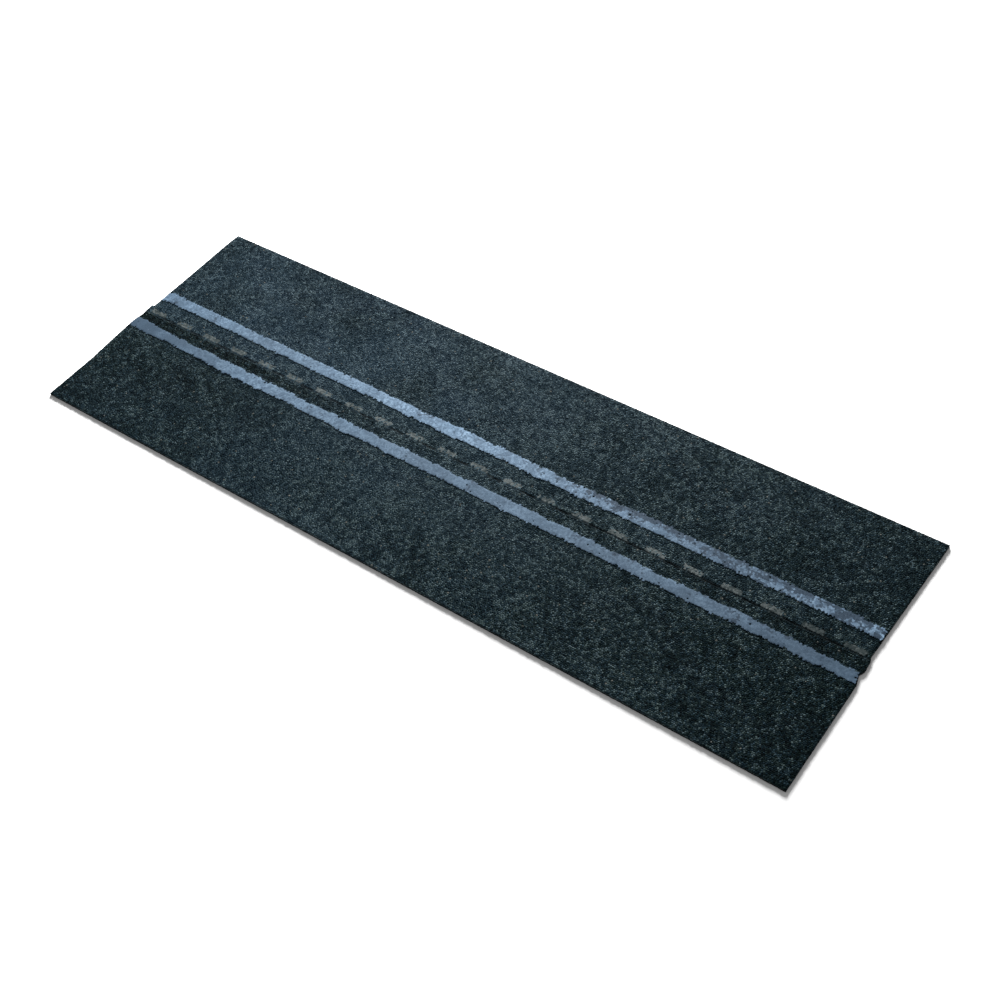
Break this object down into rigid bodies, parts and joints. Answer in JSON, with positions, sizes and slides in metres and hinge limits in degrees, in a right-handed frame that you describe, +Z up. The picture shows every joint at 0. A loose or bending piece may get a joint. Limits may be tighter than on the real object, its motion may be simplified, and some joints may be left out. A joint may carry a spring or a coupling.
{
  "type": "asphalt starter shingle",
  "caption": "Double-width asphalt starter shingle with a mineral surface, sealant strips and a perforated tear line along its middle.",
  "frame": {"origin": "under the middle of the sheet, on the surface it lies on", "axes": "+X along the tear line, +Y from the front edge to the back edge, +Z up out of the mineral surface"},
  "size_m": [1, 0.337, 0.0035],
  "materials": {
    "mineral_mat": "matte",
    "sealant": "matte"
  },
  "bodies": {
    "root": {"shingle_sheet": "mineral_mat", "sealant_strip_back": "sealant", "sealant_strip_front": "sealant"}
  },
  "joints": []
}
